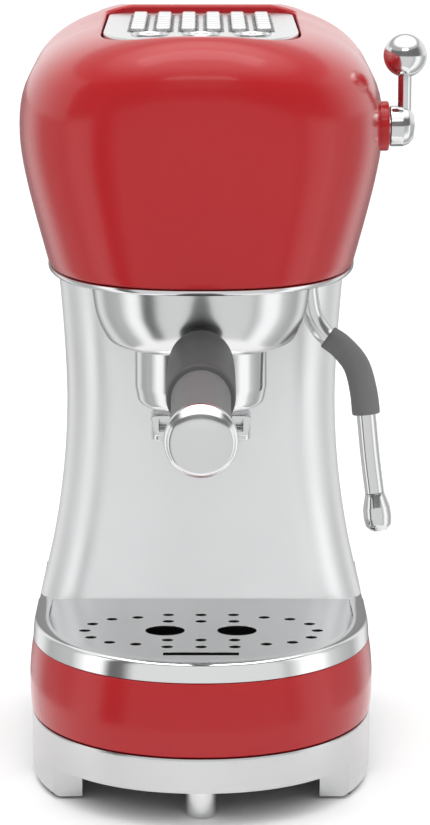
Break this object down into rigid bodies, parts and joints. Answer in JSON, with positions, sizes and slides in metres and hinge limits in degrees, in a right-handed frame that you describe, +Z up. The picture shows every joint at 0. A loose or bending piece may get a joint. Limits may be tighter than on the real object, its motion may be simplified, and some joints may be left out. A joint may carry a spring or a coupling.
{
  "type": "espresso machine",
  "caption": "Pump espresso machine with a rounded head over a steel column, a drip tray with a grid, a portafilter, a swivelling steam wand, a steam lever and a lift-out water tank.",
  "frame": {"origin": "centre of the front foot's underside, on the worktop", "axes": "+X is the user's right, +Y points to the back, +Z is up"},
  "size_m": [0.1718, 0.3225, 0.33],
  "materials": {
    "red_enamel": "glossy enamel over a smooth shell",
    "red_plastic": "glossy, matched to the enamel",
    "chrome": "mirror plated",
    "polished_steel": "polished to a soft mirror",
    "cast_silver": "satin die casting",
    "grip_grey": "matt grey with a faint grain",
    "black_plastic": "matt black",
    "black_rubber": "matt black",
    "clear_grey_plastic": "smoked clear plastic",
    "silicone": "translucent white",
    "brass": "machined",
    "circuit_board": "green lacquer"
  },
  "bodies": {
    "machine": {"head_shell": "red_enamel", "rear_band": "red_enamel", "lever_bezel": "red_plastic", "front_foot": "chrome", "head_trim": "chrome", "group_cover": "chrome", "wand_socket": "chrome", "column_shell": "polished_steel", "warming_plate": "polished_steel", "shower_screen": "polished_steel", "plinth": "cast_silver", "base_deck": "cast_silver", "boiler": "cast_silver", "base_cover": "black_plastic", "cord_gland": "black_plastic", "back_panel": "black_plastic", "head_floor": "black_plastic", "tank_seat": "black_plastic", "pump_coil": "black_plastic", "front_left_foot_pad": "black_rubber", "front_right_foot_pad": "black_rubber", "rear_left_foot_pad": "black_rubber", "rear_right_foot_pad": "black_rubber", "group_gasket": "black_rubber", "suction_hose": "silicone", "pressure_hose": "silicone", "bayonet_ring": "brass", "steam_valve": "brass", "pump": "brass", "steam_pipe": "brass", "wand_feed_pipe": "brass", "button_board": "circuit_board", "control_board": "circuit_board"},
    "drip_tray": {"tray_bin": "black_plastic", "tray_band": "red_enamel", "tray_rim": "chrome"},
    "drip_grid": {"drip_grid": "polished_steel"},
    "portafilter": {"filter_holder": "chrome", "filter_basket": "polished_steel", "twin_spout": "chrome", "handle_neck": "chrome", "handle_collar": "grip_grey", "handle_grip": "grip_grey", "handle_cap": "chrome"},
    "steam_wand": {"wand_tube": "chrome", "wand_sleeve": "grip_grey", "wand_tip": "chrome"},
    "steam_lever": {"lever_spindle": "polished_steel", "lever_barrel": "chrome", "lever_rod": "chrome", "lever_ball": "chrome"},
    "water_tank": {"water_tank": "clear_grey_plastic", "tank_valve": "black_plastic"},
    "tank_lid": {"tank_lid": "red_plastic"},
    "button_one_cup": {"button_one_cup": "chrome"},
    "button_two_cups": {"button_two_cups": "chrome"},
    "button_steam": {"button_steam": "chrome"},
    "button_power": {"button_power": "chrome"}
  },
  "joints": [
    {"name": "drip_tray_slide", "type": "slide", "parent": "machine", "child": "drip_tray", "axis": [0, -1, 0], "range_m": [0, 0.11]},
    {"name": "drip_grid_lift", "type": "slide", "parent": "drip_tray", "child": "drip_grid", "axis": [0, 0, 1], "range_m": [0, 0.03]},
    {"name": "portafilter_twist", "type": "hinge", "parent": "machine", "child": "portafilter", "pos_m": [0, 0.042, 0.2], "axis": [0, 0, 1], "range_deg": [-45, 0]},
    {"name": "steam_wand_swivel", "type": "hinge", "parent": "machine", "child": "steam_wand", "pos_m": [0.046, 0.074, 0.22], "axis": [0, 0, 1], "range_deg": [-75, 25]},
    {"name": "steam_lever_turn", "type": "hinge", "parent": "machine", "child": "steam_lever", "pos_m": [0.08, 0.06, 0.2832], "axis": [1, 0, 0], "range_deg": [0, 60]},
    {"name": "water_tank_lift", "type": "slide", "parent": "machine", "child": "water_tank", "axis": [0, 0, 1], "range_m": [0, 0.19]},
    {"name": "tank_lid_tilt", "type": "hinge", "parent": "water_tank", "child": "tank_lid", "pos_m": [0, 0.2131, 0.2983], "axis": [-1, 0, 0], "range_deg": [0, 85]},
    {"name": "button_one_cup_press", "type": "slide", "parent": "machine", "child": "button_one_cup", "axis": [0, 0.0209, -0.9998], "range_m": [0, 0.0015], "stiffness_N_per_m": 300, "springref_m": -0.002},
    {"name": "button_two_cups_press", "type": "slide", "parent": "machine", "child": "button_two_cups", "axis": [0, 0.0209, -0.9998], "range_m": [0, 0.0015], "stiffness_N_per_m": 300, "springref_m": -0.002},
    {"name": "button_steam_press", "type": "slide", "parent": "machine", "child": "button_steam", "axis": [0, 0.0209, -0.9998], "range_m": [0, 0.0015], "stiffness_N_per_m": 300, "springref_m": -0.002},
    {"name": "button_power_press", "type": "slide", "parent": "machine", "child": "button_power", "axis": [0, 0.0209, -0.9998], "range_m": [0, 0.0015], "stiffness_N_per_m": 300, "springref_m": -0.002}
  ]
}
